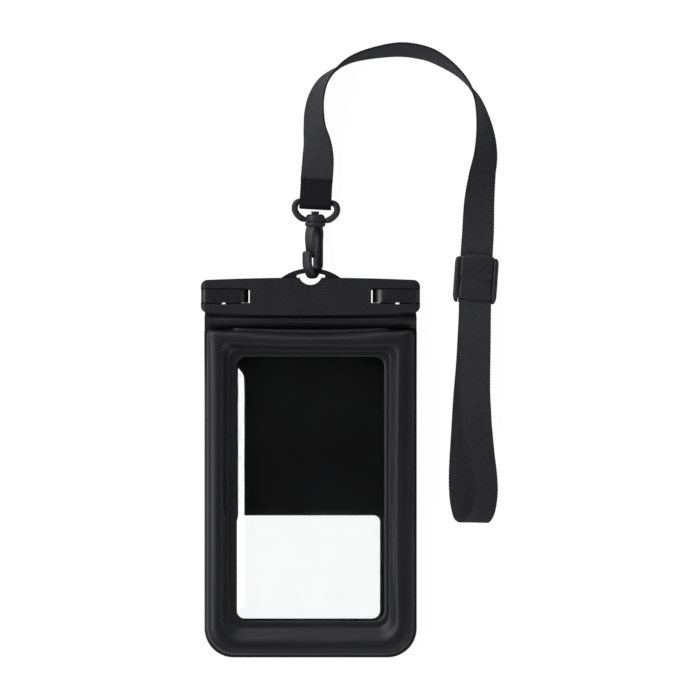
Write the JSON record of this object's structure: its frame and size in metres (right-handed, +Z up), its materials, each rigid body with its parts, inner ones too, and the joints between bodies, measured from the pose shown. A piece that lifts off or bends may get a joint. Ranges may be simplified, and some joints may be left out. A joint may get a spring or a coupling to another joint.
{
  "type": "waterproof phone case",
  "caption": "Floating waterproof phone pouch: a puffed frame round a clear window, a hinged clamp bar with end latches, and a webbing lanyard on a swivel hook.",
  "frame": {"origin": "the middle of the pouch's back, on the surface it lies on", "axes": "+Y along the pouch towards its mouth and clamp bar, +Z up out of the clear front, +X towards the side on which the lanyard lies"},
  "size_m": [0.1726, 0.356, 0.0193],
  "materials": {
    "black_film": "satin soft film",
    "clear_film": "clear gloss film",
    "hard_black_plastic": "fine grain",
    "latch_plastic": "semi-gloss",
    "hook_plastic": "moulded, satin",
    "seal_rubber": "matt",
    "pin_steel": "plain",
    "strap_webbing": "woven, matt",
    "sewing_thread": "matt"
  },
  "bodies": {
    "pouch": {"air_frame": "black_film", "back_skin": "black_film", "front_window": "clear_film", "camera_window": "clear_film", "clamp_back_bar": "hard_black_plastic", "back_seal": "seal_rubber", "hook_body": "hook_plastic", "strap": "strap_webbing", "slider": "hook_plastic", "tail_stitching": "sewing_thread"},
    "jaw": {"clamp_front_bar": "hard_black_plastic", "front_neck_film": "black_film", "front_seal": "seal_rubber", "latch_pin_left": "pin_steel", "latch_pin_right": "pin_steel"},
    "latch_left_lever": {"latch_left": "latch_plastic"},
    "latch_right_lever": {"latch_right": "latch_plastic"},
    "gate": {"hook_gate": "hook_plastic"},
    "swivel": {"swivel_ring": "hook_plastic", "strap_eye": "strap_webbing", "eye_stitching": "sewing_thread"}
  },
  "joints": [
    {"name": "jaw_hinge", "type": "hinge", "parent": "pouch", "child": "jaw", "pos_m": [0, 0.0815, 0.0115], "axis": [1, 0, 0], "range_deg": [0, 60]},
    {"name": "latch_left_hinge", "type": "hinge", "parent": "jaw", "child": "latch_left_lever", "pos_m": [-0.0604, 0.0996, 0.0114], "axis": [0, -1, 0], "range_deg": [0, 110]},
    {"name": "latch_right_hinge", "type": "hinge", "parent": "jaw", "child": "latch_right_lever", "pos_m": [0.0604, 0.0996, 0.0114], "axis": [0, 1, 0], "range_deg": [0, 110]},
    {"name": "hook_gate_hinge", "type": "hinge", "parent": "pouch", "child": "gate", "pos_m": [0.00021, 0.1392, 0.01198], "axis": [0.8829, 0, 0.4695], "range_deg": [0, 17], "stiffness_Nm_per_rad": 0.02},
    {"name": "swivel_turn", "type": "hinge", "parent": "pouch", "child": "swivel", "pos_m": [0.0027, 0.145, 0.0073], "axis": [0, 1, 0], "continuous": true}
  ]
}
